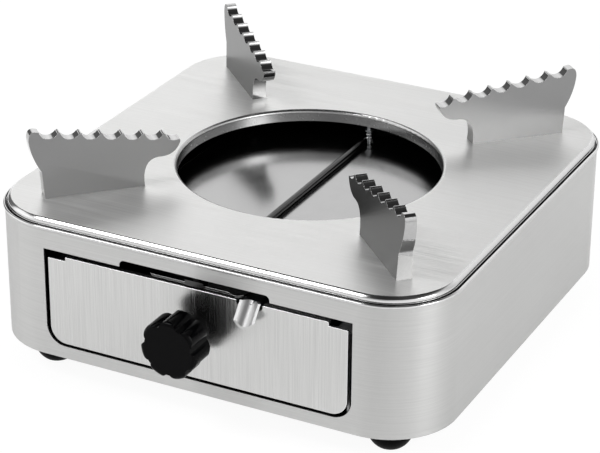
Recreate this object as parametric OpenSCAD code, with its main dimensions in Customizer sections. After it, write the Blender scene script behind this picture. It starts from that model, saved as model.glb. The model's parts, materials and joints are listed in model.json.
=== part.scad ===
// Square tabletop alcohol stove: a folded sheet steel body on rubber feet, a hemmed top plate with
// a round burner opening, four toothed pot supports, a pull-out fuel drawer with a pouring spout,
// and a flat flame cover on a lever that swings about a sprung pin behind the burner opening.
// The front faces -Y and +Z is up. The origin is the bottom centre of the whole, knob included.

/* [Body] */
// Width and depth of the wall band
body_w = 240; // [228:1:260]
// Outer radius of the upright corners
corner_r = 35; // [30:0.5:42]
// Height of the wall band
wall_h = 69.5; // [68:0.1:80]
// Sheet thickness of the wall band
wall_t = 1.2; // [0.8:0.1:1.6]
// Width of the inward flange that carries the top plate
flange_w = 8; // [7:0.1:12]
// Drop from the top of the wall to that flange
seat_drop = 1.3; // [1:0.1:1.6]
// How far the hem round the top of the wall stands proud
hem_out = 0.9; // [0.5:0.1:1.5]
// Height of that hem
hem_h = 1.6; // [1.2:0.1:2.4]
// How far the hem reaches inside the wall's outer face
hem_in = 0.4; // [0.3:0.1:0.6]
// Sheet thickness of the base plate
base_t = 1.2; // [0.8:0.1:2]
// Height of the base plate's turned-up edge
base_edge_h = 6; // [4:0.1:6.4]

/* [Top plate] */
// Sheet thickness of the top plate
plate_t = 1; // [0.8:0.1:1.5]
// Height of the plate's raised field over the wall's flange
rim_h = 4.6; // [4:0.1:6]
// Distance of the raised field from the body's sides
field_in = 3.4; // [2.8:0.1:4.2]
// Radius of the field's upper edge
field_edge_r = 0.7; // [0.4:0.1:1.2]
// Height of the ledge round the field over the wall's flange
ledge_h = 1.65; // [1.2:0.05:2.4]
// Thickness of the ledge
ledge_t = 0.7; // [0.5:0.1:1]
// Distance of the ledge from the body's sides
ledge_in = 1.3; // [1:0.1:2]
// Width of the plate's folded rim, from the body's sides
rim_w = 9; // [8:0.1:11]
// Least width of the plate between the burner opening and the body's sides
plate_border = 53.1; // [52:0.1:60]
// Depth of the turned-down lip of the burner opening
lip_h = 6.2; // [4.5:0.1:8]
// Outer bend radius of that lip
lip_bend_r = 1.8; // [1.5:0.1:2]

/* [Drawer opening] */
// Width of the wall on each side of the opening
open_side = 37.7; // [36:0.1:40]
// Height of the opening's lower edge above the wall's lower edge
open_low = 6.6; // [6.5:0.1:8]
// Height of the opening's upper edge
open_high = 57.8; // [57.6:0.1:59]
// Radius of the opening's lower corners
open_r = 10; // [6:0.1:14]
// Width of the lever slot in the opening's upper edge
slot_w = 80; // [70:0.5:90]
// Height of the lever slot
slot_h = 3.5; // [2.5:0.1:5]
// Radius of the slot's corners
slot_r = 2.6; // [1:0.1:3.4]

/* [Drawer] */
// Clearance beside the drawer front
front_gap_x = 2.2; // [1:0.1:3]
// Clearance under the drawer front
front_gap_low = 1.5; // [1:0.1:2.4]
// Clearance over the raised lip of the drawer front
front_gap_high = 2.3; // [2:0.1:3]
// Sheet thickness of the drawer front
front_t = 1.5; // [1:0.1:2]
// Distance of the raised lip from the sides of the drawer front
lip_in = 9.8; // [5:0.1:14]
// Drop from the raised lip to the shoulders
lip_drop = 2.1; // [1:0.1:3]
// Height of the fold along the raised lip
fold_h = 1.6; // [1:0.1:3]
// Depth of that fold
fold_w = 3; // [2.6:0.1:5]
// Distance of the fuel tray from the sides of the drawer opening
tray_side = 11.3; // [10.3:0.1:16]
// Room between the fuel tray and the back of the wall
tray_room = 55.3; // [40:0.1:66]
// Height of the fuel tray
tray_h = 37.5; // [34:0.1:38]
// Sheet thickness of the fuel tray
tray_t = 1; // [0.8:0.1:1.2]
// Width of the tray's side flanges
tray_flange_w = 7; // [5:0.1:7.2]
// Radius of the tray's upright corners
tray_r = 9; // [5:0.5:14]

/* [Spout] */
// Distance of the spout from the middle of the drawer front
spout_x = 29.6; // [28:0.1:45]
// Width of the spout
spout_w = 10.8; // [9:0.1:16]
// Depth of the spout's trough
spout_depth = 4; // [3:0.1:5]
// How far the spout reaches out of the drawer front
spout_reach = 5.7; // [5:0.1:9]
// How far the spout falls over that reach
spout_fall = 6.5; // [5:0.1:8]
// Sheet thickness of the spout
spout_t = 1; // [0.8:0.1:1.5]
// Clearance of the notch on each side of the spout
notch_gap = 1.5; // [1:0.1:3]

/* [Fuel cup] */
// Distance of the fuel cup from the rim of the burner opening
cup_in = 11.9; // [10:0.1:20]
// Height of the fuel cup
cup_h = 33; // [25:0.5:35]
// Sheet thickness of the fuel cup
cup_t = 1; // [0.8:0.1:1.5]
// Radius of the cup's rolled rim
cup_roll_r = 1.4; // [1.2:0.1:2]

/* [Flame cover] */
// Overlap of the flame cover on each side of the burner opening
cover_over = 3.6; // [1.2:0.1:6]
// Sheet thickness of the flame cover
cover_t = 1.2; // [0.8:0.1:1.2]
// Height of the cover's underside above the wall's lower edge
cover_low = 56.2; // [56:0.1:56.4]
// Distance of the cover's broad part from the front rim of the burner opening
cover_front_in = 2.9; // [0:0.1:16]
// Reach of the cover beyond the back rim of the burner opening
cover_back_over = 17.1; // [13.1:0.1:28]
// Width of the neck that runs to the slot
neck_w = 52.6; // [40:0.1:60]
// Diameter of the lever rod
rod_d = 3.4; // [2.8:0.1:3.8]
// Height of the rod's axis above the cover
rod_lift = 2.1; // [2:0.1:3]
// Width of the rod's flattened end
tip_w = 10; // [6:0.5:14]
// Distance of the pivot pin behind the rim of the burner opening
pin_in = 3; // [3:0.1:7]
// Diameter of the pivot pin
pin_d = 2.3; // [2:0.1:2.3]

/* [Spring] */
// Diameter of the spring wire
wire_d = 0.8; // [0.6:0.1:0.8]
// Outer diameter of the spring
spring_d = 4.3; // [4.3:0.1:5.2]
// Height of the spring
spring_h = 5.8; // [5:0.1:6.5]
// Number of turns
spring_turns = 2.25; // [2:0.25:2.5]

/* [Pot supports] */
// Thickness of each support at its foot
support_t = 7.8; // [6.2:0.1:9]
// Thickness of each support at its crown
support_top_t = 5.4; // [4.5:0.1:7.6]
// Distance of each support's nose from the rim of the burner opening
nose_gap = 1.2; // [0.3:0.1:6]
// Distance of each support's end from the body's corner
support_end_gap = 10.4; // [8:0.1:16]
// Height of each support
support_h = 35; // [34.7:0.1:40]
// Height of the innermost tooth
tooth_low = 26.2; // [25.6:0.1:26.5]
// Rise from one tooth to the next
tooth_rise = 1.4; // [1.2:0.05:1.45]
// Distance of the outermost tooth from the support's end
tooth_last = 6.5; // [6:0.1:10]
// Radius of the tooth tips
tooth_r = 0.9; // [0.7:0.05:1.2]
// Depth of the scoops between the teeth
scoop_depth = 3.2; // [2.6:0.1:4.2]
// Distance of the innermost tooth from the nose
tooth_first = 7.7; // [7.2:0.1:8.4]

/* [Feet] */
// Diameter of the rubber feet
foot_d = 22.5; // [18:0.5:25]
// Height of the feet
foot_h = 14; // [12:0.5:18]
// Distance of the feet from the body's sides
foot_side = 28; // [22:0.5:29]
// Distance of the feet from the body's front and back
foot_end = 23; // [21:0.5:32]

/* [Knob] */
// Radius of the knob over its lobes
knob_r = 15; // [12:0.5:18]
// Thickness of the knob's lobed head
knob_t = 15.5; // [11:0.1:18]
// Length of the knob's collar
collar_l = 9.5; // [7:0.1:12]
// Radius of the knob's collar
collar_r = 7.5; // [5.5:0.1:9]
// Height of the knob's axis above the wall's lower edge
knob_z = 34.5; // [30:0.5:36]
// Number of lobes
lobes = 7; // [5:1:9]

/* [Hidden] */
$fn = 96;

steel = "#c9cbcc";
bright = "#e2e4e5";
dark_steel = "#8b8e90";
black = "#1c1c1e";
zinc = "#b7babd";

// Overrun of every cut past the face that it opens
cut = 2;
// Clearance of a seated cylinder in its hole
fit_gap = 0.05;
// Clearance between the base plate's edge and the wall
seat_gap = 0.1;

// Rim and support screws
rim_screw_r = 1.5;
rim_screw_in = 6.2;
rim_screw_bite = 2.2;
support_screw_r = 2;
support_screw_bite = 8;
support_screw_shares = [0.391, 0.743];
screw_head_h_share = 0.6;
screw_head_r_share = 1.8;

// Rails: a leg on the base plate and a channel that holds the tray's flange
rail_t = 1.2;
rail_gap_x = 0.6;
rail_gap_z = 0.7;
rail_foot_w = 7.4;
rail_inset = 3.5;
rivet_r = 1.5;
rivet_head_h = 0.9;
rivet_head_r = 2.7;
rivet_shares = [0.25, 0.88];

// Feet, with a countersunk seat for their screws
foot_screw_r = 2.5;
foot_head_r = 4.2;
foot_head_h = 3;
foot_recess_r = 4.9;
foot_recess_h = 5.5;
foot_shoulder_h = 5;
foot_nut_w = 8;
foot_nut_h = 4;
foot_thread_over = 1;

// Pivot pin, its washer and its nut
washer_t = 0.6;
washer_r = 2.3;
pin_nut_r = 2.6;
pin_nut_h = 1.4;
nut_play = 0.2;
spring_play = 0.1;

// Lever rod and the cover's outline
rod_back_in = 2.4;
tip_depth = 4;
tip_front_in = 0.8;
tip_h = 2.8;
pad_l = 4;
pad_out = 6;
pad_end = 0.5;
neck_in = 1.5;
neck_r = 4.4;
cover_r = 12;
ear_r = 4.3;
ear_side = 4.8;
ear_in = 0.1;

// Knob and its fastening
lobe_share = 0.31;
valley_share = 0.83;
scoop_share = 0.14;
knob_round = 2.4;
stud_r = 3;
stud_bite = 15;
stud_over = 1;
knob_washer_r = 6.5;
knob_washer_t = 1;
knob_nut_w = 10;
knob_nut_h = 5;

front_r = 8.5;
notch_r = 2.2;
notch_depth = 3;
spout_rim_drop = 1;
tray_lift = 10.5;
flange_inset = 6;
cup_round = 5;

// Outline of a support, in shares of its length and its height
support_toe_share = [0.241, 0];
support_heel_share = [[0.241, 0], [0.259, 0.398], [0.146, 0.416]];
support_throat_share = [[0.146, 0.416], [0.035, 0.398], [0, 0.608]];
support_nose_share = [[0, 0.642], [0.053, 0.663]];
support_crown_share = [[0.94, 1], [0.98, 1], [0.98, 0.87]];
support_back_share = [[0.98, 0.87], [0.97, 0.63], [0.906, 0.4]];
support_tail_share = [0.893, 0];
curve_steps = 8;

// Heights above the wall's lower edge and other derived values
half = body_w / 2;
hole_r = half - plate_border;
plate_low = wall_h - seat_drop;
plate_top = plate_low + rim_h;
sheet_low = plate_top - plate_t;
open_w = body_w - 2 * open_side;
front_w = open_w - 2 * front_gap_x;
lip_w = front_w - 2 * lip_in;
front_low = open_low + front_gap_low;
front_high = open_high - front_gap_high;
front_face = -half;
front_back = front_face + front_t;
tray_low = tray_lift;
tray_high = tray_low + tray_h;
tray_w = open_w - 2 * tray_side;
tray_len = half - wall_t - front_back - tray_room;
rail_len = tray_len;
cup_r = hole_r - cup_in;
tray_mid_y = front_back + tray_len / 2;
rail_x = tray_w / 2 + tray_flange_w + rail_gap_x;
shelf_low = tray_high - tray_t - rail_t;
channel_low = tray_high + rail_gap_z;
rail_high = channel_low + rail_t;
rail_y = front_face + rail_inset;
cover_top = cover_low + cover_t;
cover_w = 2 * (hole_r + cover_over);
cover_front = hole_r - cover_front_in;
cover_back = hole_r + cover_back_over;
pin_y = hole_r + pin_in;
rod_back = hole_r - rod_back_in;
pad_places = [-cover_front - pad_out, rod_back - pad_l - pad_end];
ear_x = neck_w / 2 - ear_side;
rod_z = cover_top + rod_lift;
washer_low = cover_top + spring_h;
foot_x = half - foot_side;
foot_y = half - foot_end;
corner_reach = (half - corner_r) * sqrt(2) + corner_r;
support_in = hole_r + nose_gap;
support_len = corner_reach - support_end_gap - support_in;
tooth_count = 7;
tooth_pitch = (support_len - tooth_first - tooth_last) / (tooth_count - 1);
tooth_chord = norm([tooth_pitch, tooth_rise]) / 2;
scoop_r = (tooth_chord * tooth_chord / scoop_depth + scoop_depth) / 2 - tooth_r;
tooth_meet = tooth_r * (scoop_r + tooth_r - scoop_depth) / (scoop_r + tooth_r);
knob_out = collar_l + knob_t;
shift_y = (knob_out - hem_out) / 2;

function mix(a, b, t) = a * (1 - t) + b * t;
function arc_point(p, t) = mix(mix(p[0], p[1], t), mix(p[1], p[2], t), t);
function curve(p) = [for (i = [1:curve_steps]) arc_point(p, i / curve_steps)];
function support_points(p) = [for (q = p) [q[0] * support_len, q[1] * support_h]];
function tooth_at(i) = [tooth_first + i * tooth_pitch, tooth_low + i * tooth_rise];

// From the body's own axes to the origin of the whole
module place() {
    translate([0, shift_y, foot_h]) children();
}

module rounded_square(w, d, r) {
    square([w - 2 * r, d], center = true);
    square([w, d - 2 * r], center = true);
    for (x = [-1, 1], y = [-1, 1])
        translate([x * (w / 2 - r), y * (d / 2 - r)]) circle(r);
}

// A rounded square slab whose edge is a full half-round bead
module bead_slab(w, r, h) {
    e = h / 2;
    for (a = [0, 90])
        rotate([90, 0, a])
            linear_extrude(w - 2 * r, center = true) {
                translate([0, e]) square([w - h, h], center = true);
                for (x = [-1, 1]) translate([x * (w / 2 - e), e]) circle(e);
            }
    for (x = [-1, 1], y = [-1, 1])
        translate([x * (w / 2 - r), y * (w / 2 - r), 0])
            rotate_extrude() {
                square([r - e, h]);
                translate([r - e, e]) circle(e);
            }
}

module square_prism(w, r, h) {
    linear_extrude(h) rounded_square(w, w, r);
}

module pan_screw(r, l) {
    head_h = r * 2 * screw_head_h_share;
    translate([0, 0, -head_h]) cylinder(r = r * screw_head_r_share, h = head_h);
    cylinder(r = r, h = l);
}

module hex_nut(w, h, bore_r) {
    difference() {
        cylinder(d = w / cos(30), h = h, $fn = 6);
        translate([0, 0, -cut]) cylinder(r = bore_r, h = h + 2 * cut);
    }
}

// An outline in X and Z, cut or raised along Y around the front face
module front_extrude(y_low, y_high) {
    translate([0, y_high, 0]) rotate([90, 0, 0]) linear_extrude(y_high - y_low) children();
}

// Outline with rounded lower corners and square upper ones
module tub_outline(w, low, high, r) {
    translate([-w / 2, low + r]) square([w, high - low - r]);
    translate([-w / 2 + r, low]) square([w - 2 * r, high - low]);
    for (x = [-1, 1]) translate([x * (w / 2 - r), low + r]) circle(r);
}

module slot_outline() {
    high = open_high + slot_h;
    translate([-slot_w / 2, open_high - slot_r]) square([slot_w, slot_h]);
    translate([-slot_w / 2 + slot_r, open_high - slot_r]) square([slot_w - 2 * slot_r, slot_h + slot_r]);
    for (x = [-1, 1]) translate([x * (slot_w / 2 - slot_r), high - slot_r]) circle(slot_r);
}

module rim_screw_places() {
    for (a = [0:90:270]) rotate([0, 0, a]) translate([half - rim_screw_in, 0, 0]) children();
}

module wall_band() {
    inner = body_w - 2 * wall_t;
    color(steel) place() difference() {
        union() {
            square_prism(body_w, corner_r, wall_h - hem_h / 2);
            translate([0, 0, wall_h - hem_h]) bead_slab(body_w + 2 * hem_out, corner_r + hem_out, hem_h);
        }
        translate([0, 0, -cut]) square_prism(inner, corner_r - wall_t, plate_low - wall_t + cut);
        square_prism(inner - 2 * flange_w, corner_r - wall_t - flange_w, wall_h + cut);
        translate([0, 0, plate_low])
            square_prism(body_w - 2 * hem_in, corner_r - hem_in, seat_drop + cut);
        front_extrude(front_face - cut, front_face + wall_t + cut)
            tub_outline(open_w, open_low, open_high, open_r);
        front_extrude(front_face - cut, front_face + wall_t + cut) slot_outline();
        rim_screw_places() cylinder(r = rim_screw_r + fit_gap, h = wall_h + cut);
    }
}

module foot_places() {
    for (x = [-1, 1], y = [-1, 1]) translate([x * foot_x, y * foot_y, 0]) children();
}

module rivet_places() {
    for (x = [-1, 1], s = rivet_shares)
        translate([x * (rail_x + rail_t + (rail_foot_w - rail_t) / 2), rail_y + s * rail_len, 0]) children();
}

module base_plate() {
    outer = body_w - 2 * wall_t - 2 * seat_gap;
    outer_r = corner_r - wall_t - seat_gap;
    color(steel) place() difference() {
        square_prism(outer, outer_r, base_edge_h);
        translate([0, 0, base_t])
            square_prism(outer - 2 * base_t, outer_r - base_t, base_edge_h + cut);
        foot_places() translate([0, 0, -cut]) cylinder(r = foot_screw_r + fit_gap, h = base_t + 2 * cut);
        rivet_places() translate([0, 0, -cut]) cylinder(r = rivet_r + fit_gap, h = base_t + 2 * cut);
    }
}

// The turned-down lip of the burner opening, seen in section
module lip_section() {
    under_r = lip_bend_r - plate_t;
    translate([hole_r, plate_top - lip_h]) square([plate_t, lip_h - lip_bend_r]);
    translate([hole_r + lip_bend_r, plate_top - lip_bend_r]) intersection() {
        difference() {
            circle(lip_bend_r);
            circle(under_r);
        }
        translate([-lip_bend_r, 0]) square(lip_bend_r);
    }
    translate([hole_r + lip_bend_r, sheet_low]) square([plate_t, plate_t]);
}

module to_corner(corner) {
    rotate([0, 0, 45 + 90 * corner]) children();
}

module support_screw_places() {
    for (corner = [0:3], s = support_screw_shares)
        to_corner(corner) translate([support_in + s * support_len, 0, 0]) children();
}

// The raised field, its rounded upper edge and the ledge round its foot
module plate_body() {
    field = body_w - 2 * field_in;
    field_r = corner_r - field_in;
    translate([0, 0, plate_low]) square_prism(field, field_r, rim_h - field_edge_r);
    translate([0, 0, plate_top - 2 * field_edge_r]) bead_slab(field, field_r, 2 * field_edge_r);
    translate([0, 0, plate_low + ledge_h - ledge_t])
        bead_slab(body_w - 2 * ledge_in, corner_r - ledge_in, ledge_t);
}

module top_plate() {
    inner = body_w - 2 * rim_w;
    color(bright) place() {
        difference() {
            plate_body();
            translate([0, 0, plate_low - cut])
                square_prism(inner, corner_r - rim_w, sheet_low - plate_low + cut);
            translate([0, 0, plate_low]) cylinder(r = hole_r + lip_bend_r, h = rim_h + cut);
            support_screw_places()
                translate([0, 0, plate_low]) cylinder(r = support_screw_r + fit_gap, h = rim_h + cut);
            rim_screw_places() translate([0, 0, plate_low - cut])
                cylinder(r = rim_screw_r + fit_gap, h = rim_screw_bite + cut);
        }
        rotate_extrude() lip_section();
    }
}

module rim_screws() {
    color(zinc) place() rim_screw_places()
        translate([0, 0, plate_low - wall_t]) pan_screw(rim_screw_r, wall_t + rim_screw_bite);
}

// Side view of a pot support below its teeth: X runs outwards from the nose and Y is the height
// over the plate
module support_outline() {
    first = tooth_at(0);
    last = tooth_at(tooth_count - 1);
    polygon(concat(
        support_points([support_tail_share, support_toe_share]),
        support_points(curve(support_heel_share)),
        support_points(curve(support_throat_share)),
        support_points(support_nose_share),
        [[first[0] - tooth_r, first[1] - tooth_r]],
        [first + [0, tooth_meet - tooth_r]],
        [last + [0, tooth_meet - tooth_r]],
        [last],
        support_points([support_crown_share[0]]),
        support_points(curve(support_crown_share)),
        support_points(curve(support_back_share))
    ));
}

// The same with its round tooth tips and the round scoops between them
module toothed_support() {
    difference() {
        union() {
            linear_extrude(support_t, center = true) support_outline();
            for (i = [0:tooth_count - 1])
                translate(tooth_at(i) - [0, tooth_r])
                    cylinder(r = tooth_r, h = support_t, center = true);
        }
        for (i = [0:tooth_count - 1])
            translate(tooth_at(i) - [tooth_pitch / 2, tooth_rise / 2 + scoop_depth - scoop_r])
                cylinder(r = scoop_r, h = support_t + 2 * cut, center = true);
    }
}

// Section of a support from its foot to its crown, run along its length
module support_wedge() {
    rotate([90, 0, 90]) linear_extrude(support_len) polygon([
        [-support_t / 2, 0],
        [support_t / 2, 0],
        [support_top_t / 2, support_h],
        [-support_top_t / 2, support_h]
    ]);
}

module support(corner) {
    color(dark_steel) place() difference() {
        to_corner(corner) translate([support_in, 0, plate_top]) intersection() {
            rotate([90, 0, 0]) toothed_support();
            support_wedge();
        }
        to_corner(corner) for (s = support_screw_shares)
            translate([support_in + s * support_len, 0, plate_top - cut])
                cylinder(r = support_screw_r + fit_gap, h = support_screw_bite + cut);
    }
}

module support_front_left() {
    support(2);
}

module support_front_right() {
    support(3);
}

module support_back_left() {
    support(1);
}

module support_back_right() {
    support(0);
}

module support_screws() {
    color(zinc) place() support_screw_places()
        translate([0, 0, sheet_low]) pan_screw(support_screw_r, plate_t + support_screw_bite - plate_t);
}

// Section of the right rail
module rail_section() {
    translate([rail_x, base_t]) square([rail_t, rail_high - base_t]);
    translate([rail_x, base_t]) square([rail_foot_w, rail_t]);
    translate([rail_x - tray_flange_w, shelf_low]) square([tray_flange_w + rail_t, rail_t]);
    translate([rail_x - tray_flange_w, channel_low]) square([tray_flange_w + rail_t, rail_t]);
}

module rail(side) {
    color(steel) place() difference() {
        front_extrude(rail_y, rail_y + rail_len) mirror([side, 0]) rail_section();
        rivet_places() cylinder(r = rivet_r + fit_gap, h = base_t + rail_t + cut);
    }
}

module rail_left() {
    rail(1);
}

module rail_right() {
    rail(0);
}

module rail_rivets() {
    grip = base_t + rail_t;
    color(zinc) place() rivet_places() {
        translate([0, 0, -rivet_head_h]) cylinder(r = rivet_head_r, h = rivet_head_h);
        cylinder(r = rivet_r, h = grip);
        translate([0, 0, grip]) cylinder(r = rivet_head_r, h = rivet_head_h);
    }
}

module foot(x, y) {
    foot_r = foot_d / 2;
    color(black) place() translate([x * foot_x, y * foot_y, 0]) difference() {
        union() {
            translate([0, 0, -foot_shoulder_h]) cylinder(r = foot_r, h = foot_shoulder_h);
            intersection() {
                translate([0, 0, -foot_shoulder_h]) sphere(foot_r);
                translate([0, 0, -foot_h]) cylinder(r = foot_r + cut, h = foot_h - foot_shoulder_h);
            }
        }
        translate([0, 0, -foot_h - cut]) cylinder(r = foot_recess_r, h = foot_recess_h + cut);
        translate([0, 0, -foot_h]) cylinder(r = foot_screw_r + fit_gap, h = foot_h + cut);
    }
}

module foot_front_left() {
    foot(-1, -1);
}

module foot_front_right() {
    foot(1, -1);
}

module foot_back_left() {
    foot(-1, 1);
}

module foot_back_right() {
    foot(1, 1);
}

module foot_screws() {
    low = foot_recess_h - foot_h;
    color(zinc) place() foot_places() {
        translate([0, 0, low - foot_head_h]) cylinder(r = foot_head_r, h = foot_head_h);
        translate([0, 0, low])
            cylinder(r = foot_screw_r, h = base_t + foot_nut_h + foot_thread_over - low);
    }
}

module foot_nuts() {
    color(zinc) place() foot_places()
        translate([0, 0, base_t]) hex_nut(foot_nut_w, foot_nut_h, foot_screw_r + fit_gap);
}

module pivot_pin() {
    low = cover_low - nut_play - pin_nut_h;
    color(zinc) place() translate([0, pin_y, low]) cylinder(d = pin_d, h = sheet_low - low);
}

module pivot_washer() {
    color(zinc) place() translate([0, pin_y, washer_low]) difference() {
        cylinder(r = washer_r, h = washer_t);
        translate([0, 0, -cut]) cylinder(r = pin_d / 2 + fit_gap, h = washer_t + 2 * cut);
    }
}

module pivot_nut() {
    color(zinc) place() translate([0, pin_y, cover_low - nut_play - pin_nut_h]) difference() {
        cylinder(r = pin_nut_r, h = pin_nut_h);
        translate([0, 0, -cut]) cylinder(r = pin_d / 2 + fit_gap, h = pin_nut_h + 2 * cut);
    }
}

// The spring: one wire wound up the pin, 8 rings to a turn and 6 sides to a ring
ring_turn = 45;
ring_sides = 6;
coil_r = (spring_d - wire_d) / 2;
coil_rise = spring_h - wire_d - 2 * spring_play;
coil_steps = round(spring_turns * 360 / ring_turn);
coil_lead = coil_rise / (spring_turns * 2 * PI * coil_r);

function coil_centre(i) = [
    coil_r * cos(i * ring_turn),
    coil_r * sin(i * ring_turn),
    coil_rise * i / coil_steps
];
function coil_out(i) = [cos(i * ring_turn), sin(i * ring_turn), 0];
function coil_up(i) = [coil_lead * sin(i * ring_turn), -coil_lead * cos(i * ring_turn), 1]
    / sqrt(1 + coil_lead * coil_lead);
function ring_place(i, a) = cos(a) * coil_out(i) + sin(a) * coil_up(i);
function coil_ring(i) = [
    for (k = [0:ring_sides - 1]) coil_centre(i) + wire_d / 2 * ring_place(i, k * 360 / ring_sides)
];
function ring_quads(i) = [
    for (k = [0:ring_sides - 1], half_face = [0, 1])
        let (a = i * ring_sides + k, b = i * ring_sides + (k + 1) % ring_sides)
            half_face == 0 ? [a, b, b + ring_sides] : [a, b + ring_sides, a + ring_sides]
];
coil_gap = min([
    for (i = [0:coil_steps], j = [i + 4:1:coil_steps]) norm(coil_centre(i) - coil_centre(j))
]) - wire_d;
echo(spring_least_gap = coil_gap);

module pivot_spring() {
    last = coil_steps * ring_sides;
    points = [for (i = [0:coil_steps]) each coil_ring(i)];
    faces = concat(
        [for (k = [1:ring_sides - 2]) [0, k + 1, k]],
        [for (i = [0:coil_steps - 1]) each ring_quads(i)],
        [for (k = [1:ring_sides - 2]) [last, last + k, last + k + 1]]
    );
    color(bright) place()
        translate([0, pin_y, cover_top + spring_play + wire_d / 2]) polyhedron(points, faces);
}

module cover_outline() {
    neck_front = half - neck_in;
    difference() {
        union() {
            translate([0, (cover_back - cover_front) / 2])
                rounded_square(cover_w, cover_back + cover_front, cover_r);
            translate([-neck_w / 2, -neck_front + neck_r]) square([neck_w, neck_front - neck_r]);
            translate([-neck_w / 2 + neck_r, -neck_front]) square([neck_w - 2 * neck_r, neck_front]);
            for (x = [-1, 1])
                translate([x * (neck_w / 2 - neck_r), -neck_front + neck_r]) circle(neck_r);
            translate([ear_x, -half + ear_in + ear_r]) circle(ear_r);
        }
        translate([-tip_w / 2, -half - cut]) square([tip_w, tip_front_in + tip_depth + cut]);
        translate([0, pin_y]) circle(pin_d / 2 + fit_gap);
    }
}

module cover_plate() {
    color(dark_steel) place() translate([0, 0, cover_low]) linear_extrude(cover_t) cover_outline();
}

module lever_rod() {
    front = -half + tip_front_in;
    color(dark_steel) place() {
        translate([0, rod_back, rod_z])
            rotate([90, 0, 0]) cylinder(d = rod_d, h = rod_back - front - tip_depth / 2);
        translate([-tip_w / 2, front, cover_low]) cube([tip_w, tip_depth, tip_h]);
        for (y = pad_places)
            translate([-rod_d / 2, y, cover_top]) cube([rod_d, pad_l, rod_lift]);
    }
}

// The spout's section, with its rim on the X axis
module spout_section(grow) {
    slope = atan(spout_fall / spout_reach);
    sag = spout_depth * cos(slope);
    arc_r = (spout_w * spout_w / 4 + sag * sag) / (2 * sag);
    intersection() {
        translate([0, arc_r - sag]) circle(arc_r - grow);
        translate([-spout_w / 2, -2 * spout_w]) square([spout_w, 2 * spout_w]);
    }
}

// A section run along the spout's slope, outwards and downwards from the drawer front
module along_spout() {
    slope = atan(spout_fall / spout_reach);
    run = spout_reach / cos(slope) + spout_w;
    translate([spout_x, front_face, front_high - spout_rim_drop])
        rotate([90 + slope, 0, 0]) linear_extrude(2 * run, center = true) children();
}

module drawer_front_outline() {
    shoulder = front_high - lip_drop;
    tub_outline(front_w, front_low, shoulder, front_r);
    translate([-lip_w / 2, shoulder - lip_drop]) square([lip_w, 2 * lip_drop]);
}

module fold_outline() {
    translate([-lip_w / 2, front_high - fold_h]) square([lip_w, fold_h]);
}

module notch_outline() {
    w = spout_w + 2 * notch_gap;
    translate([spout_x, 0]) tub_outline(w, front_high - notch_depth, front_high + cut, notch_r);
}

module drawer_front() {
    color(steel) place() difference() {
        union() {
            front_extrude(front_face, front_back) drawer_front_outline();
            front_extrude(front_face + front_t / 2, front_face + fold_w) fold_outline();
            intersection() {
                along_spout() spout_section(0);
                translate([spout_x - spout_w, front_face - spout_reach, 0])
                    cube([2 * spout_w, spout_reach + front_t, front_high]);
            }
        }
        difference() {
            front_extrude(front_face - cut, front_face + fold_w + cut) notch_outline();
            along_spout() spout_section(0);
        }
        along_spout() spout_section(spout_t);
        front_extrude(front_face - cut, front_back + cut)
            translate([0, knob_z]) circle(stud_r + fit_gap);
    }
}

module fuel_tray() {
    wide = tray_w + 2 * tray_flange_w;
    color(steel) place() difference() {
        union() {
            translate([0, tray_mid_y, tray_low])
                linear_extrude(tray_h) rounded_square(tray_w, tray_len, tray_r);
            translate([-wide / 2, front_back + flange_inset, tray_high - tray_t])
                cube([wide, tray_len - 2 * flange_inset - tray_r, tray_t]);
        }
        translate([0, tray_mid_y, tray_low + tray_t]) linear_extrude(tray_h)
            rounded_square(tray_w - 2 * tray_t, tray_len - 2 * tray_t, tray_r - tray_t);
        front_extrude(front_back - cut, front_back + tray_t + cut)
            translate([0, knob_z]) circle(stud_r + fit_gap);
    }
}

module cup_section() {
    difference() {
        union() {
            square([cup_r - cup_round, cup_h]);
            translate([0, cup_round]) square([cup_r, cup_h - cup_round]);
            translate([cup_r - cup_round, cup_round]) circle(cup_round);
        }
        translate([-cut, cup_t]) square([cup_r - cup_round + cut, cup_h]);
        translate([-cut, cup_round]) square([cup_r - cup_t + cut, cup_h]);
        translate([cup_r - cup_round, cup_round]) circle(cup_round - cup_t);
    }
    translate([cup_r - cup_t + cup_roll_r, cup_h - cup_roll_r]) circle(cup_roll_r);
}

module fuel_cup() {
    color(bright) place() translate([0, 0, tray_low + tray_t]) rotate_extrude() cup_section();
}

module knob_outline() {
    difference() {
        union() {
            circle(knob_r * valley_share);
            for (i = [0:lobes - 1])
                rotate([0, 0, 90 + i * 360 / lobes])
                    translate([knob_r * (1 - lobe_share), 0]) circle(knob_r * lobe_share);
        }
        for (i = [0:lobes - 1])
            rotate([0, 0, 90 + (i + 1 / 2) * 360 / lobes])
                translate([knob_r * (valley_share + scoop_share), 0]) circle(knob_r * scoop_share);
    }
}

// Everything on the knob's axis, with Z pointing out of the drawer front
module on_knob_axis() {
    translate([0, front_face, knob_z]) rotate([90, 0, 0]) children();
}

module knob() {
    color(black) place() on_knob_axis() difference() {
        union() {
            cylinder(r = collar_r, h = collar_l + knob_t / 2);
            translate([0, 0, collar_l]) intersection() {
                linear_extrude(knob_t) knob_outline();
                rotate_extrude() {
                    square([knob_r - knob_round, knob_t]);
                    translate([0, knob_round]) square([knob_r, knob_t - 2 * knob_round]);
                    for (z = [knob_round, knob_t - knob_round])
                        translate([knob_r - knob_round, z]) circle(knob_round);
                }
            }
        }
        translate([0, 0, -cut]) cylinder(r = stud_r + fit_gap, h = stud_bite + cut);
    }
}

module knob_stud() {
    inner = front_t + tray_t + knob_washer_t + knob_nut_h + stud_over;
    color(zinc) place() on_knob_axis()
        translate([0, 0, -inner]) cylinder(r = stud_r, h = inner + stud_bite);
}

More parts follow.
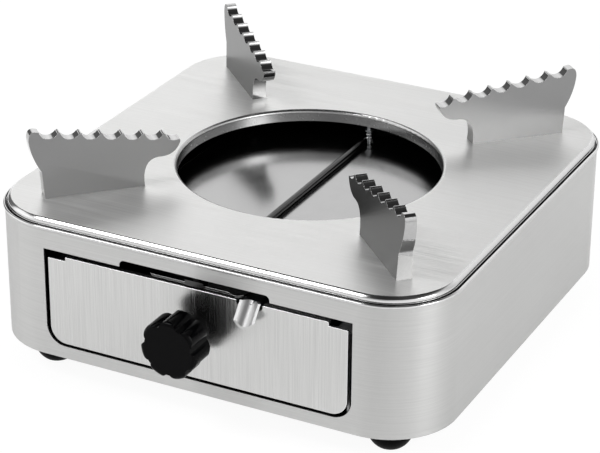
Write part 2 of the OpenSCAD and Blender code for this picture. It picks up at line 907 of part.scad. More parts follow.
module knob_washer() {
    color(zinc) place() on_knob_axis()
        translate([0, 0, -front_t - tray_t - knob_washer_t]) difference() {
            cylinder(r = knob_washer_r, h = knob_washer_t);
            translate([0, 0, -cut]) cylinder(r = stud_r + fit_gap, h = knob_washer_t + 2 * cut);
        }
}

module knob_nut() {
    color(zinc) place() on_knob_axis()
        translate([0, 0, -front_t - tray_t - knob_washer_t - knob_nut_h])
            hex_nut(knob_nut_w, knob_nut_h, stud_r + fit_gap);
}

wall_band();
base_plate();
top_plate();
rim_screws();
support_front_left();
support_front_right();
support_back_left();
support_back_right();
support_screws();
rail_left();
rail_right();
rail_rivets();
foot_front_left();
foot_front_right();
foot_back_left();
foot_back_right();
foot_screws();
foot_nuts();
pivot_pin();
pivot_spring();
pivot_washer();
pivot_nut();
cover_plate();
lever_rod();
drawer_front();
fuel_tray();
fuel_cup();
knob();
knob_stud();
knob_washer();
knob_nut();
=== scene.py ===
# %% [markdown]
# # A square tabletop stove in brushed sheet steel
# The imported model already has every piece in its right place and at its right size. Here it gets
# its rounded edges, its wound spring, its steel, rubber and plastic, and a studio to stand in.
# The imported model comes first, because everything else is measured from it.

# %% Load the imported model
import json
import math

import bmesh
import bpy
from mathutils import Matrix, Vector


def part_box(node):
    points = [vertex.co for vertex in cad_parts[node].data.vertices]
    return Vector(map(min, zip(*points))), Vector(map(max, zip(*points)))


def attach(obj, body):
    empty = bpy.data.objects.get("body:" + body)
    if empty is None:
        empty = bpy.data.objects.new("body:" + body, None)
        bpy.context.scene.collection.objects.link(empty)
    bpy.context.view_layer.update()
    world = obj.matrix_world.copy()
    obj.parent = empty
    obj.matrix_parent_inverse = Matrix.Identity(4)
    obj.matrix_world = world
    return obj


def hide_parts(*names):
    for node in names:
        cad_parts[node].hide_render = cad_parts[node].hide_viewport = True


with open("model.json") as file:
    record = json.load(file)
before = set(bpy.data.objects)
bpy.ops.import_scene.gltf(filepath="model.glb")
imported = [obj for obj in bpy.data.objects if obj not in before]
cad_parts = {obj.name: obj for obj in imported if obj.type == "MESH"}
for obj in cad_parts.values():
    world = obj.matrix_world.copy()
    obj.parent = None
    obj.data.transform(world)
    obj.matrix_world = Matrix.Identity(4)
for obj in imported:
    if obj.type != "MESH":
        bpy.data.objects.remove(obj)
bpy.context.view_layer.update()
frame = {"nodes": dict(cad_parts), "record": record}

MM = 0.001
wall_low, wall_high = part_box("wall_band")
# The stove's own axes start in the middle of the wall's lower edge.
STOVE = Vector((0, (wall_low.y + wall_high.y) / 2, wall_low.z))
print("wall starts at", [round(v / MM, 2) for v in STOVE], "mm")


# %% [markdown]
# ## Small helpers
# A node tree is easier to read when one short line adds one node, so a single function takes the
# node's kind, its settings and what goes into its sockets. Colours are picked as sRGB hex values,
# as in any paint program, while the shaders add light up linearly, so one function converts them.

# %% Helpers for colours, nodes and points
def linear(hex_colour):
    """sRGB hex to the linear colour that a shader works with."""
    parts = [int(hex_colour[i:i + 2], 16) / 255 for i in (1, 3, 5)]
    return [p / 12.92 if p <= 0.04045 else ((p + 0.055) / 1.055) ** 2.4 for p in parts] + [1.0]


def add(tree, kind, settings=None, sockets=None):
    """One node, with its settings and with values or other nodes' outputs in its sockets."""
    node = tree.nodes.new("ShaderNode" + kind)
    for name, value in (settings or {}).items():
        setattr(node, name, value)
    for name, value in (sockets or {}).items():
        if isinstance(value, bpy.types.NodeSocket):
            tree.links.new(value, node.inputs[name])
        else:
            node.inputs[name].default_value = value
    return node


def new_tree(name):
    """A material with an empty node tree."""
    material = bpy.data.materials.new(name)
    material.use_nodes = True
    material.node_tree.nodes.clear()
    return material, material.node_tree


def spread(tree, value, low, high, start=0.0, end=1.0):
    """Maps the range start to end of a pattern to the range low to high."""
    sockets = {"Value": value, "From Min": start, "From Max": end, "To Min": low, "To Max": high}
    return add(tree, "MapRange", sockets=sockets).outputs["Result"]


def times(tree, first, second):
    """The product of two values."""
    return add(tree, "Math", {"operation": "MULTIPLY"}, {0: first, 1: second}).outputs[0]


def at(x, y, z):
    """A point given in mm from the middle of the wall's lower edge, in the scene's metres."""
    return STOVE + Vector((x, y, z)) * MM


# %% [markdown]
# ## The camera
# The photograph was taken with a long lens from the front right, a little above the stove. Lines
# that are parallel on the stove meet far outside such a picture, so its perspective is weak. The
# numbers below were solved from the corners of the wall, the top plate and the drawer front.

# %% The camera
CAMERA_TURN = math.radians(26.856)
CAMERA_LIFT = math.radians(25.772)
CAMERA_ROLL = math.radians(0.393)
CAMERA_DISTANCE, CAMERA_RIGHT, CAMERA_UP = 1.18250, -0.00454, 0.03288
FOCAL_LENGTH, SENSOR_WIDTH = 137.02, 36
NEAREST, FARTHEST = 0.05, 50

back = Vector((
    math.sin(CAMERA_TURN) * math.cos(CAMERA_LIFT),
    -math.cos(CAMERA_TURN) * math.cos(CAMERA_LIFT),
    math.sin(CAMERA_LIFT),
))
level = Vector((math.cos(CAMERA_TURN), math.sin(CAMERA_TURN), 0))
upright = back.cross(level)
right = level * math.cos(CAMERA_ROLL) + upright * math.sin(CAMERA_ROLL)
above = upright * math.cos(CAMERA_ROLL) - level * math.sin(CAMERA_ROLL)

lens = bpy.data.cameras.new("photo_camera")
lens.sensor_width = SENSOR_WIDTH
lens.lens = FOCAL_LENGTH
lens.clip_start, lens.clip_end = NEAREST, FARTHEST
camera = bpy.data.objects.new("photo_camera", lens)
bpy.context.scene.collection.objects.link(camera)
camera.matrix_world = Matrix((right, above, back)).transposed().to_4x4()
camera.location = STOVE + back * CAMERA_DISTANCE + right * CAMERA_RIGHT + above * CAMERA_UP
bpy.context.scene.camera = camera
print("camera stands at", [round(v, 4) for v in camera.location], "m")


# %% [markdown]
# ## The studio
# Polished and brushed metal shows its surroundings more than its own colour, so the surroundings
# are the real light source. The stove stands on white paper inside a soft cove that is bright
# near the ground and dark overhead. Faces that lie flat mirror the bright part, and edges that
# turn towards the dark part get the thin black lines that make polished metal look polished. The
# side where the camera stands is about half as bright, as the room behind a photographer is, and
# a narrow dark panel stands at the left, a little towards the back. All these shares were set one
# by one, until most of the steel mirrored about the same grey as in the photograph. They describe a
# studio that fits the picture, and nobody measured the real one. A camera ray sees plain white
# behind the stove, as in a catalogue picture. Two soft lamps help: one high at the front left,
# which the plate's rolled edge mirrors as a white line, and a small one low at the right for the
# pot support at the back.

# %% The world, a soft white cove
# height of the direction, from 0 at the horizon to 1 overhead, and its share of the light
COVE_HEIGHTS = [
    (0.0, 0.85), (0.42, 1.0), (0.59, 0.95), (0.71, 0.15), (0.81, 0.04), (1.0, 0.05),
]
# compass angle from the stove's right, anticlockwise, and its share of the light
COVE_TURNS = [
    (-180, 0.95), (-150, 1.0), (-117, 0.50), (-80, 0.36), (-52, 0.62), (-22, 0.90),
    (10, 0.80), (40, 0.50), (68, 0.72), (100, 0.80), (125, 1.0), (139, 0.80),
    (147, 0.12), (170, 0.12), (178, 0.85), (180, 0.95),
]
COVE_LIGHT = 1.55
world = bpy.data.worlds.new("studio_cove")
bpy.context.scene.world = world
world.use_nodes = True
tree = world.node_tree
tree.nodes.clear()


def stepped(tree, value, steps, low, high):
    """A smooth grey scale over the range low to high, through (value, share) steps."""
    scale = add(tree, "ValToRGB", sockets={"Fac": spread(tree, value, 0.0, 1.0, low, high)})
    ramp = scale.color_ramp
    ramp.interpolation = "EASE"
    for step in steps[1:-1]:
        ramp.elements.new((step[0] - low) / (high - low))
    for element, (place, share) in zip(ramp.elements, steps):
        element.position = (place - low) / (high - low)
        element.color = (share, share, share, 1)
    return scale.outputs["Color"]


direction = add(tree, "SeparateXYZ", sockets={"Vector": add(tree, "TexCoord").outputs["Generated"]})
turn = add(tree, "Math", {"operation": "ARCTAN2"}, {
    0: direction.outputs["Y"], 1: direction.outputs["X"]})
degrees = times(tree, turn.outputs[0], 180 / math.pi)
by_height = stepped(tree, direction.outputs["Z"], COVE_HEIGHTS, 0.0, 1.0)
by_turn = stepped(tree, degrees, COVE_TURNS, -180.0, 180.0)
strength = times(tree, times(tree, by_height, by_turn), COVE_LIGHT)
ray = add(tree, "LightPath")
surround = add(tree, "Background", sockets={"Color": (1, 1, 1, 1), "Strength": strength})
behind = add(tree, "Background", sockets={"Color": (1, 1, 1, 1), "Strength": 1.0})
mixed = add(tree, "MixShader", sockets={
    0: ray.outputs["Is Camera Ray"], 1: surround.outputs[0], 2: behind.outputs[0]})
add(tree, "OutputWorld", sockets={"Surface": mixed.outputs[0]})
print("cove has", len(COVE_HEIGHTS), "steps of height and", len(COVE_TURNS), "of turn")


# %% The floor
# White paper sweep. To the camera it is mostly its own white, so that it fades into the background
# and keeps a light shadow. To everything else it is a plain matte floor, with a little glow for the
# steel that mirrors it, like paper on a light table.
FLOOR_SIZE = 6.0
FLOOR_SHADOW = 0.16
FLOOR_WHITE = 1.11
FLOOR_GLOW = 0.42
floor_mesh = bpy.data.meshes.new("floor")
bm = bmesh.new()
bmesh.ops.create_grid(bm, x_segments=1, y_segments=1, size=FLOOR_SIZE / 2)
bm.to_mesh(floor_mesh)
bm.free()
floor = bpy.data.objects.new("floor", floor_mesh)
bpy.context.scene.collection.objects.link(floor)

paper, tree = new_tree("white_paper_sweep")
ray = add(tree, "LightPath")
matte = add(tree, "BsdfDiffuse", sockets={"Color": linear("#f2f2f2")})
white = add(tree, "Emission", sockets={"Color": (1, 1, 1, 1), "Strength": FLOOR_WHITE})
glow = add(tree, "Emission", sockets={
    "Color": (1, 1, 1, 1), "Strength": times(tree, ray.outputs["Is Glossy Ray"], FLOOR_GLOW)})
plain = add(tree, "AddShader", sockets={0: matte.outputs[0], 1: glow.outputs[0]})
share = spread(tree, ray.outputs["Is Camera Ray"], 0.0, 1 - FLOOR_SHADOW)
mixed = add(tree, "MixShader", sockets={0: share, 1: plain.outputs[0], 2: white.outputs[0]})
add(tree, "OutputMaterial", sockets={"Surface": mixed.outputs[0]})
floor_mesh.materials.append(paper)
print("floor is", FLOOR_SIZE, "m wide")


# %% The lamps
LAMP_TARGET = at(0, 0, 50)
# name, place in m, size in m, power in W
LAMPS = [
    ("softbox_front_left", (-1.15, -1.25, 2.1), (1.0, 0.7), 15),
    ("softbox_small_right", (0.60, -0.13, 0.36), (0.25, 0.25), 0.8),
]
for name, place, size, power in LAMPS:
    light = bpy.data.lights.new(name, "AREA")
    light.shape = "RECTANGLE"
    light.size, light.size_y = size
    light.energy = power
    lamp = bpy.data.objects.new(name, light)
    bpy.context.scene.collection.objects.link(lamp)
    lamp.location = place
    lamp.rotation_mode = "QUATERNION"
    lamp.rotation_quaternion = (Vector(place) - LAMP_TARGET).to_track_quat("Z", "Y")
    print(name, power, "W")

# %% Plain display of colours
bpy.context.scene.view_settings.view_transform = "Standard"
print("colours are shown as", bpy.context.scene.view_settings.view_transform)


# %% [markdown]
# ## Brushed stainless steel
# Sheet stainless is drawn past abrasive belts, which leaves fine parallel grooves. Light spreads
# across the grooves and stays sharp along them. A principled shader has this as anisotropy: its
# tangent is the direction in which the highlight grows long, so it lies across the grooves. Real
# grooves are about 0.05 mm wide, too fine for this picture, so they are drawn about ten times as
# wide. They change the roughness, the grey and the height a little. A second, much larger pattern
# stands for the faint clouds that rolling and handling leave.

# %% Brushed stainless steel
GROOVE_WIDTH = 0.5
GROOVE_LENGTH = 45.0
GROOVE_DEPTH = 0.004
GROOVE_STRENGTH = 0.5
CLOUD_SIZE = 45.0
# how much the clouds change the grey, and a pattern the roughness, either way
CLOUD_SHADE, ROUGH_SPREAD = 0.03, 0.15
# the part of a noise's range that holds most of its values
NOISE_LOW, NOISE_HIGH = 0.3, 0.7


def brushed_steel(name, grey, across, grooves, roughness, anisotropy, streak):
    """Brushed sheet steel. grooves has 1 for each axis along which the grooves run, across is the
    direction in which highlights stretch, and streak how much the grooves vary in grey."""
    material, tree = new_tree(name)
    place = add(tree, "TexCoord").outputs["Object"]
    scale = [1 / (GROOVE_LENGTH * MM) if g else 1 / (GROOVE_WIDTH * MM) for g in grooves]
    squeezed = add(tree, "Mapping", sockets={"Vector": place, "Scale": scale})
    line = add(tree, "TexNoise", sockets={
        "Vector": squeezed.outputs[0], "Scale": 1.0, "Detail": 3.0})
    cloud = add(tree, "TexNoise", sockets={
        "Vector": place, "Scale": 1 / (CLOUD_SIZE * MM), "Detail": 2.0})
    shade = spread(tree, line.outputs["Fac"], 1 - streak, 1 + streak, NOISE_LOW, NOISE_HIGH)
    clouds = spread(tree, cloud.outputs["Fac"], 1 - CLOUD_SHADE, 1 + CLOUD_SHADE)
    shade = times(tree, shade, clouds)
    colour = add(tree, "VectorMath", {"operation": "SCALE"}, {0: linear(grey)[:3], "Scale": shade})
    rough = spread(tree, line.outputs["Fac"], roughness * (1 - ROUGH_SPREAD),
                   roughness * (1 + ROUGH_SPREAD), NOISE_LOW, NOISE_HIGH)
    relief = add(tree, "Bump", sockets={
        "Height": line.outputs["Fac"], "Distance": GROOVE_DEPTH * MM,
        "Strength": GROOVE_STRENGTH})
    stretch = add(tree, "CombineXYZ", sockets={"X": across[0], "Y": across[1], "Z": across[2]})
    shader = add(tree, "BsdfPrincipled", sockets={
        "Base Color": colour.outputs["Vector"], "Metallic": 1.0, "Roughness": rough,
        "Anisotropic": anisotropy, "Tangent": stretch.outputs[0], "Normal": relief.outputs[0]})
    add(tree, "OutputMaterial", sockets={"Surface": shader.outputs[0]})
    return material


ACROSS_X, ACROSS_Y, ACROSS_Z = (1, 0, 0), (0, 1, 0), (0, 0, 1)
AROUND, SIDEWAYS, UPRIGHT = (1, 1, 0), (1, 0, 0), (0, 0, 1)
wall_steel = brushed_steel(
    "stainless_wall_brushed_around", "#c7c7c6", ACROSS_Z, AROUND, 0.38, 0.85, 0.055)
plate_steel = brushed_steel(
    "stainless_plate_brushed_sideways", "#f4f4f3", ACROSS_Y, SIDEWAYS, 0.46, 0.6, 0.055)
front_steel = brushed_steel(
    "stainless_front_brushed_upright", "#cdcdcc", ACROSS_X, UPRIGHT, 0.24, 0.6, 0.08)
print("brushed steel:", wall_steel.name, plate_steel.name, front_steel.name)


# %% [markdown]
# ## Plain and polished metals
# The pot supports are cut from thick strip: their faces have a fine even satin from tumbling, and
# their cut edges are polished. The flame cover is bright rolled steel and its rod is blackened.
# Fasteners are zinc plated. All of these look the same in every direction, so they need no
# anisotropy, only a grain of the right size.

# %% Satin, polished and plated metals
def even_metal(name, grey, roughness, grain, uneven=0.15, relief=0.002):
    """Metal without a direction. grain is the size of its fine unevenness in mm, uneven how much
    that changes the roughness and, a third as much, the grey, and relief its height in mm."""
    material, tree = new_tree(name)
    place = add(tree, "TexCoord").outputs["Object"]
    speck = add(tree, "TexNoise", sockets={
        "Vector": place, "Scale": 1 / (grain * MM), "Detail": 3.0})
    shade = spread(tree, speck.outputs["Fac"], 1 - uneven / 3, 1 + uneven / 3)
    colour = add(tree, "VectorMath", {"operation": "SCALE"}, {0: linear(grey)[:3], "Scale": shade})
    rough = spread(tree, speck.outputs["Fac"], roughness * (1 - uneven), roughness * (1 + uneven))
    bump = add(tree, "Bump", sockets={
        "Height": speck.outputs["Fac"], "Distance": relief * MM, "Strength": GROOVE_STRENGTH})
    shader = add(tree, "BsdfPrincipled", sockets={
        "Base Color": colour.outputs["Vector"], "Metallic": 1.0, "Roughness": rough,
        "Normal": bump.outputs[0]})
    add(tree, "OutputMaterial", sockets={"Surface": shader.outputs[0]})
    return material


satin_steel = even_metal("stainless_tumbled_satin", "#888888", 0.3, 0.35, 0.1, 0.001)
edge_steel = even_metal("stainless_polished_edge", "#b0b0b0", 0.06, 1.2, 0.3, 0.001)
spout_steel = even_metal("stainless_pressed_spout", "#b4b4b4", 0.40, 1.0, 0.1, 0.001)
rim_steel = even_metal("stainless_rolled_rim", "#d4d4d4", 0.13, 1.5, 0.15, 0.001)
lip_steel = even_metal("stainless_turned_lip", "#b8b8b8", 0.26, 1.5, 0.15, 0.001)
# painted highlight: a paler grey on cut edges, for the thin bright lines along them
painted_highlight_edge_steel = even_metal("stainless_cut_edge_painted_highlight", "#f0f0f0", 0.27, 0.4, 0.2)
cover_steel = even_metal("steel_bright_rolled", "#9c9c9c", 0.17, 9.0, 0.2)
# also on the flame cover's sheared edge, where this dark grey is painted shade
rod_steel = even_metal("steel_blackened_rod_and_edge_shade", "#4c4c4c", 0.2, 2.0, 0.3)
inner_steel = even_metal("steel_mill_finish", "#9c9d9e", 0.42, 3.0, 0.25)
# painted shade: a dark grey for the inside of the body, the underside of the top plate, the groove
# under its edge and the base plate, where shade falls
painted_shade_steel = even_metal("steel_sooted_inside", "#3c3c3c", 0.5, 4.0, 0.3)
cup_steel = even_metal("stainless_spun_cup", "#c4c5c6", 0.24, 1.0)
zinc_plate = even_metal("zinc_plated_steel", "#b4b6b8", 0.3, 0.8)
wire_steel = even_metal("spring_steel_drawn_wire", "#d4d5d6", 0.18, 0.5)
print("even metals: satin and polished edges, spout, rim, lip, cut, rolled, blackened, mill,",
      "shade_painted, spun, zinc, wire")


# %% [markdown]
# ## Rubber and moulded plastic
# The feet are black moulded rubber, dull, with a fine rough skin. The knob is black phenolic
# plastic with a smooth face. Both mirror little, so their specular level is low, and the light
# that they catch is on their rounded edges.

# %% Rubber and plastic
SKIN_STRENGTH = 0.6


def moulded(name, colour, roughness, specular, grain, relief):
    """A moulded black material whose skin has bumps of about grain mm."""
    material, tree = new_tree(name)
    place = add(tree, "TexCoord").outputs["Object"]
    skin = add(tree, "TexNoise", sockets={
        "Vector": place, "Scale": 1 / (grain * MM), "Detail": 2.0})
    rough = spread(tree, skin.outputs["Fac"], roughness * (1 - ROUGH_SPREAD),
                   roughness * (1 + ROUGH_SPREAD))
    bump = add(tree, "Bump", sockets={
        "Height": skin.outputs["Fac"], "Distance": relief * MM, "Strength": SKIN_STRENGTH})
    shader = add(tree, "BsdfPrincipled", sockets={
        "Base Color": linear(colour), "Roughness": rough, "Specular IOR Level": specular,
        "Normal": bump.outputs[0]})
    add(tree, "OutputMaterial", sockets={"Surface": shader.outputs[0]})
    return material


foot_rubber = moulded("rubber_moulded_black", "#070708", 0.4, 0.04, 0.7, 0.015)
knob_plastic = moulded("phenolic_moulded_black", "#060607", 0.12, 0.06, 1.5, 0.003)
print("moulded:", foot_rubber.name, knob_plastic.name)


# %% [markdown]
# ## Rounding the edges
# No cut or folded steel edge is perfectly sharp, and the thin bright line on a rounded edge is
# what tells the eye that it is metal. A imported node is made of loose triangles, so a copy of it
# is merged, its flat triangles are joined into whole faces, and its sharp edges are bevelled. The
# copy then stands for the node. Weighted normals keep the flat faces flat where they meet the
# round edges.

# %% Helpers for a copy of a node with rounded edges
# angles between two faces: sharp enough to bevel, shaded as one, and flat enough to be joined
SHARP, SMOOTH_UP_TO, STILL_FLAT = math.radians(28), math.radians(40), math.radians(0.3)
# how squarely a face looks along a direction, as the share of its normal that lies along it
SQUARELY, MOSTLY, HALF_WAY = 0.99, 0.9, 0.5
# points nearer to each other than this many mm become one
SAME_POINT = 0.01
slots = {row["node"]: row["material_slot"] for row in frame["record"]["subparts"]}


def shown(name, bm, body, materials, nodes=()):
    """Puts a finished bmesh in the scene as a piece that rides on a body and stands for nodes."""
    for face in bm.faces:
        face.smooth = True
    mesh = bpy.data.meshes.new(name)
    bm.to_mesh(mesh)
    bm.free()
    mesh.set_sharp_from_angle(angle=SMOOTH_UP_TO)
    for material in materials:
        mesh.materials.append(material)
    piece = bpy.data.objects.new(name, mesh)
    bpy.context.scene.collection.objects.link(piece)
    weighted = piece.modifiers.new("flat_faces_stay_flat", "WEIGHTED_NORMAL")
    weighted.keep_sharp = True
    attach(piece, body)
    if nodes:
        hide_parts(*nodes)
    print(name, "has", len(mesh.polygons), "faces")


def merged_copy(node):
    """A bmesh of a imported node, with its doubles merged and its flat faces joined."""
    bm = bmesh.new()
    bm.from_mesh(frame["nodes"][node].data)
    bmesh.ops.remove_doubles(bm, verts=bm.verts, dist=SAME_POINT * MM)
    bmesh.ops.dissolve_limit(bm, angle_limit=STILL_FLAT, verts=bm.verts, edges=bm.edges)
    return bm


def round_edges(bm, width, segments=2, keep=None, finish=None):
    """Bevels the sharp edges by width mm. keep can leave some out, and finish is the place of the
    bevel's material."""
    sharp = [e for e in bm.edges if e.is_manifold and abs(e.calc_face_angle_signed()) > SHARP
             and (keep is None or keep(e))]
    made = bmesh.ops.bevel(bm, geom=sharp, offset=width * MM, offset_type="OFFSET",
                           segments=segments, profile=0.5, affect="EDGES", clamp_overlap=True,
                           material=-1)
    if finish is not None:
        for face in made["faces"]:
            face.material_index = finish
    return len(sharp)


def middle(item):
    """The middle of a face or an edge in mm from the middle of the wall's lower edge."""
    points = [v.co for v in item.verts]
    return (sum(points, Vector()) / len(points) - STOVE) / MM


# %% [markdown]
# ## The top plate
# The plate is one pressed sheet. Its raised field is brushed, and its edge rolls over and down
# into a narrow groove inside the wall's hem. The roll starts with a tight bend, slopes down at
# about 45 degrees and ends upright. It is polished by the press, so the bend draws a thin dark
# line and the slope a bright one. The copy's plain edge is drawn outwards until its flat part
# meets the roll. The roll is built as its own closed ring: its section is spun round each corner
# and extruded along each side, which is how a rounded square is swept with plain operators.

# %% Distances from the wall's rounded square
CORNER_RADIUS = 35.0
HEM_OUT = 0.9
side_half = (wall_high.x - wall_low.x) / 2 / MM - HEM_OUT
corner = side_half - CORNER_RADIUS


def outside_by(spot):
    """How far a point lies outside the wall's rounded square, in mm."""
    dx, dy = abs(spot.x) - corner, abs(spot.y) - corner
    return math.hypot(max(dx, 0), max(dy, 0)) + min(max(dx, dy), 0) - CORNER_RADIUS


def outwards_at(spot):
    """The level direction that leads straight out of the rounded square."""
    dx, dy = abs(spot.x) - corner, abs(spot.y) - corner
    way = Vector((dx, dy, 0)) if dx > 0 and dy > 0 else Vector((dx > dy, dx <= dy, 0))
    return Vector((math.copysign(way.x, spot.x), math.copysign(way.y, spot.y), 0)).normalized()


print("half the wall's width is", round(side_half, 2), "mm")


# %% The top plate
field_top = (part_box("top_plate")[1].z - STOVE.z) / MM
A_LITTLE = 0.1
PLATE_THICK = 1
LEDGE_TOP = 69.85
UNDER_LEDGE = LEDGE_TOP - PLATE_THICK
# distances from the wall's flat outside in mm, negative because they lie within it
FIELD_FLAT_END = -4.1
ROLL_START = -3.24
OUTER_PART = -20
bm = merged_copy("top_plate")
moved = 0
for vert in bm.verts:
    spot = (vert.co - STOVE) / MM
    if outside_by(spot) > FIELD_FLAT_END - A_LITTLE and spot.z > LEDGE_TOP + A_LITTLE:
        vert.co += outwards_at(spot) * (ROLL_START - FIELD_FLAT_END) * MM
        moved += 1
print(moved, "corners of the field's edge drawn outwards")
# the underside and the faces in the groove under the edge get a dark grey, painted shade
BRUSHED, RIM, UNDER = 0, 1, 2
for face in bm.faces:
    spot = middle(face)
    if spot.z > field_top - A_LITTLE / 2 and face.normal.z > SQUARELY:
        face.material_index = BRUSHED
    elif face.normal.z < -HALF_WAY or outside_by(spot) > OUTER_PART and spot.z < UNDER_LEDGE:
        face.material_index = UNDER
    else:
        face.material_index = RIM
shown("top_plate_pressed", bm, "stove",
      [plate_steel, lip_steel, painted_shade_steel], ["top_plate"])

# %% The plate's rolled edge
# tilt in degrees and length in mm of each short straight of the section
TIGHT_BEND = [(6 + 6 * step, 0.11) for step in range(6)]
SLOPE = [(40 + 2 * step, 0.24) for step in range(6)]
LAST_BEND = [(56, 0.15), (64, 0.15), (72, 0.15), (80, 0.15), (88, 1.0)]
CORNER_STEPS = 24
# the ring reaches a little under the field and starts a little lower there, so that the two don't
# share a face
RING_INWARDS, RING_LOWER = 0.5, 0.02
ROLL_BACK = ROLL_START - RING_INWARDS
bm = bmesh.new()
section = [(ROLL_BACK, field_top - RING_LOWER)]
out, z = ROLL_START, field_top
section.append((out, z))
for tilt, length in TIGHT_BEND + SLOPE + LAST_BEND:
    out += length * math.cos(math.radians(tilt))
    z -= length * math.sin(math.radians(tilt))
    section.append((out, z))
section.append((ROLL_BACK, z))
print("the roll ends", round(out, 2), "mm from the wall's outside, at", round(z, 2), "mm")
verts = [bm.verts.new(at(side_half + out, -corner, z)) for out, z in section]
loop = [bm.edges.new((a, b)) for a, b in zip(verts, verts[1:] + verts[:1])]
for turn in range(4):
    sides = turn * math.pi / 2
    run = Vector((-math.sin(sides), math.cos(sides), 0)) * 2 * corner * MM
    made = bmesh.ops.extrude_edge_only(bm, edges=loop)["geom"]
    ends = [g for g in made if isinstance(g, bmesh.types.BMVert)]
    bmesh.ops.translate(bm, verts=ends, vec=run)
    loop = [g for g in made if isinstance(g, bmesh.types.BMEdge)
            and all(v in ends for v in g.verts)]
    centre = at(*(Matrix.Rotation(sides, 3, "Z") @ Vector((corner, corner, 0))))
    made = bmesh.ops.spin(bm, geom=loop, cent=centre, axis=(0, 0, 1), angle=math.pi / 2,
                          steps=CORNER_STEPS, dvec=(0, 0, 0))["geom_last"]
    loop = [g for g in made if isinstance(g, bmesh.types.BMEdge)]
bmesh.ops.remove_doubles(bm, verts=bm.verts, dist=SAME_POINT / 2 * MM)
bmesh.ops.recalc_face_normals(bm, faces=bm.faces[:])
print("roll is closed:", all(e.is_manifold for e in bm.edges))
shown("top_plate_rolled_edge", bm, "stove", [rim_steel])


# %% [markdown]
# ## The wall
# The wall is one long strip, brushed along its length before it was folded round the corners, so
# its grooves run round the stove. Its hem catches the light as a thin line, and the cut edges of
# the drawer opening are a paler grey, a painted highlight that draws them as thin bright lines. The
# inside is never polished, and its dark grey is painted shade for the closed, unlit inside.

# %% The wall
bm = merged_copy("wall_band")
BRUSHED, HEM, INSIDE, CUT = 0, 1, 2, 3
HEM_HEIGHT = 1.7
# where the outer skin, the sheet's cut edges and the hem end, measured as for the top plate
OUTER_SKIN, SHEET_END, HEM_END = -0.25, -1.0, -1.5
hem_low = (wall_high.z - STOVE.z) / MM - HEM_HEIGHT
for face in bm.faces:
    spot = middle(face)
    if abs(face.normal.z) < HALF_WAY and outside_by(spot) > OUTER_SKIN and spot.z < hem_low:
        face.material_index = BRUSHED
    elif spot.z > hem_low - 2 * A_LITTLE and outside_by(spot) > HEM_END:
        face.material_index = HEM
    # the sheet's cut edges get the paler grey, a painted highlight
    elif outside_by(spot) > SHEET_END:
        face.material_index = CUT
    # the inside faces get a dark grey, painted shade
    else:
        face.material_index = INSIDE
shown("wall_band_folded", bm, "stove",
      [wall_steel, rim_steel, painted_shade_steel, painted_highlight_edge_steel], ["wall_band"])


# %% [markdown]
# ## The pot supports
# Each support is cut from thick strip. Its two broad faces are tumbled to a satin, while the
# toothed edge and the ends are polished, so they mirror the bright and the dark parts of the
# studio side by side. Its edges are rounded, because a pot is pushed over them.

# %% The pot supports
SATIN, POLISHED = 0, 1
BROAD_FACE = 0.95
TOOTH_ROUND = 0.8
for place in ("front_left", "front_right", "back_left", "back_right"):
    node = "support_" + place
    low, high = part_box(node)
    outwards = (low + high) / 2 - STOVE
    outwards.z = 0
    across = outwards.normalized().cross(Vector((0, 0, 1)))
    bm = merged_copy(node)
    for face in bm.faces:
        broad = abs(face.normal.dot(across)) > BROAD_FACE
        face.material_index = SATIN if broad else POLISHED
    count = round_edges(bm, TOOTH_ROUND, 3,
                        lambda e: middle(e).z > field_top + A_LITTLE, POLISHED)
    shown(node + "_cut", bm, "stove", [satin_steel, edge_steel], [node])
    print(count, "edges rounded")


# %% [markdown]
# ## The drawer front
# The front is brushed upright and the wall along its length, because the two were cut from
# different sheets. Its cut edges are a paler grey, a painted highlight that draws them as thin
# bright lines. The spout is pressed into it and is too small to brush, so it has no grooves.

# %% The drawer front
SPOUT_X, SPOUT_HALF, SPOUT_LOW = 29.6, 6.4, 40
CUT_ROUND, SPOUT_MARGIN = 0.35, 2
bm = merged_copy("drawer_front")
BRUSHED, CUT, SMOOTH = 0, 1, 2
for face in bm.faces:
    spot = middle(face)
    faces_front = face.normal.y < -SQUARELY and abs(spot.x - SPOUT_X) > A_LITTLE
    if faces_front or face.normal.y > MOSTLY:
        face.material_index = BRUSHED
    elif abs(spot.x - SPOUT_X) < SPOUT_HALF and spot.z > SPOUT_LOW:
        face.material_index = SMOOTH
    else:
        face.material_index = CUT
# the rounded edges get the paler grey too, a painted highlight
count = round_edges(bm, CUT_ROUND, 2,
                    lambda e: abs(middle(e).x - SPOUT_X) > SPOUT_HALF + SPOUT_MARGIN, CUT)
print(count, "edges rounded")
shown("drawer_front_pressed", bm, "drawer",
      [front_steel, painted_highlight_edge_steel, spout_steel], ["drawer_front"])


# %% [markdown]
# ## The flame cover
# The cover is a flat plate of bright rolled steel whose face mirrors the burner opening above it.
# Its sheared edge gets the rod's dark grey, painted shade that keeps it quiet in the dark slot
# over the drawer.

# %% The flame cover
bm = merged_copy("cover_plate")
FACE, EDGE = 0, 1
SHEARED_ROUND = 0.2
for face in bm.faces:
    # the sheared edge gets the rod's dark grey, painted shade for the slot
    face.material_index = FACE if abs(face.normal.z) > MOSTLY else EDGE
count = round_edges(bm, SHEARED_ROUND, 2, None, FACE)
print(count, "edges rounded")
shown("cover_plate_rolled", bm, "flame_cover",
      [cover_steel, rod_steel], ["cover_plate"])


# %% [markdown]
# ## The knob
# The knob is moulded in one piece. A mould's edges are rounded so that it lets go of the plastic,
# and the same rounding keeps it soft in the hand, so every sharp edge of the copy is bevelled.

# %% The knob
MOULD_ROUND = 0.8
bm = merged_copy("knob")
count = round_edges(bm, MOULD_ROUND, 3)
shown("knob_moulded", bm, "drawer", [knob_plastic], ["knob"])
print(count, "edges rounded")


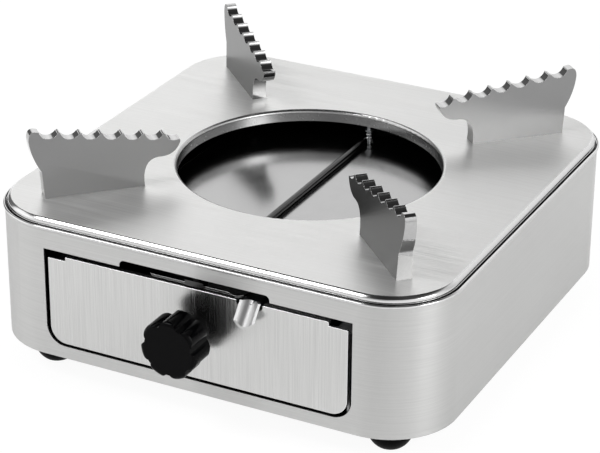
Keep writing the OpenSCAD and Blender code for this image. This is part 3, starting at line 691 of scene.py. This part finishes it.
# %% [markdown]
# ## The pivot spring
# The spring is one length of drawn wire wound round the pin. A round section spun about the pin
# while it climbs makes the whole coil in one operator, which is how the real one is wound.

# %% The pivot spring
# the wire's thickness and the coil's width over all, in mm
WIRE = 0.8
COIL_WIDTH = 4.3
SPRING_TURNS = 2.25
STEPS_PER_TURN = 32
WIRE_SIDES = 14
spring_low, spring_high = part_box("pivot_spring")
pin_low, pin_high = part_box("pivot_pin")
pin_centre = (pin_low + pin_high) / 2
rise = (spring_high.z - spring_low.z) - WIRE * MM
steps = round(SPRING_TURNS * STEPS_PER_TURN)
bm = bmesh.new()
start = Vector((
    pin_centre.x + (COIL_WIDTH - WIRE) / 2 * MM, pin_centre.y, spring_low.z + WIRE / 2 * MM))
bmesh.ops.create_circle(bm, cap_ends=False, segments=WIRE_SIDES, radius=WIRE / 2 * MM,
                        matrix=Matrix.Translation(start) @ Matrix.Rotation(math.pi / 2, 4, "X"))
bmesh.ops.spin(bm, geom=bm.edges[:], cent=pin_centre, axis=(0, 0, 1), dvec=(0, 0, rise / steps),
               angle=SPRING_TURNS * 2 * math.pi, steps=steps)
bmesh.ops.holes_fill(bm, edges=bm.edges[:], sides=WIRE_SIDES)
bmesh.ops.recalc_face_normals(bm, faces=bm.faces[:])
shown("pivot_spring_wire", bm, "stove", [wire_steel], ["pivot_spring"])


# %% [markdown]
# ## Dressing the imported nodes
# Nodes whose shape is right as it is keep their mesh and get the finish that the real piece has.
# The base plate inside is the exception: its dark grey is painted shade.

# %% Finishes of the imported nodes
FINISHES = {
    "lever_rod": rod_steel,
    "fuel_cup": cup_steel,
    # a dark grey, painted shade inside the body
    "base_plate": painted_shade_steel,
}
FINISH_OF_SLOT = {
    "base_steel": inner_steel,
    "tray_steel": inner_steel,
    "fastener_zinc": zinc_plate,
    "pivot_steel": zinc_plate,
    "foot_rubber": foot_rubber,
}
for name, node in frame["nodes"].items():
    finish = FINISHES.get(name) or FINISH_OF_SLOT.get(slots[name])
    if finish is None:
        continue
    node.data.materials.clear()
    node.data.materials.append(finish)
    print(name, "is", finish.name)
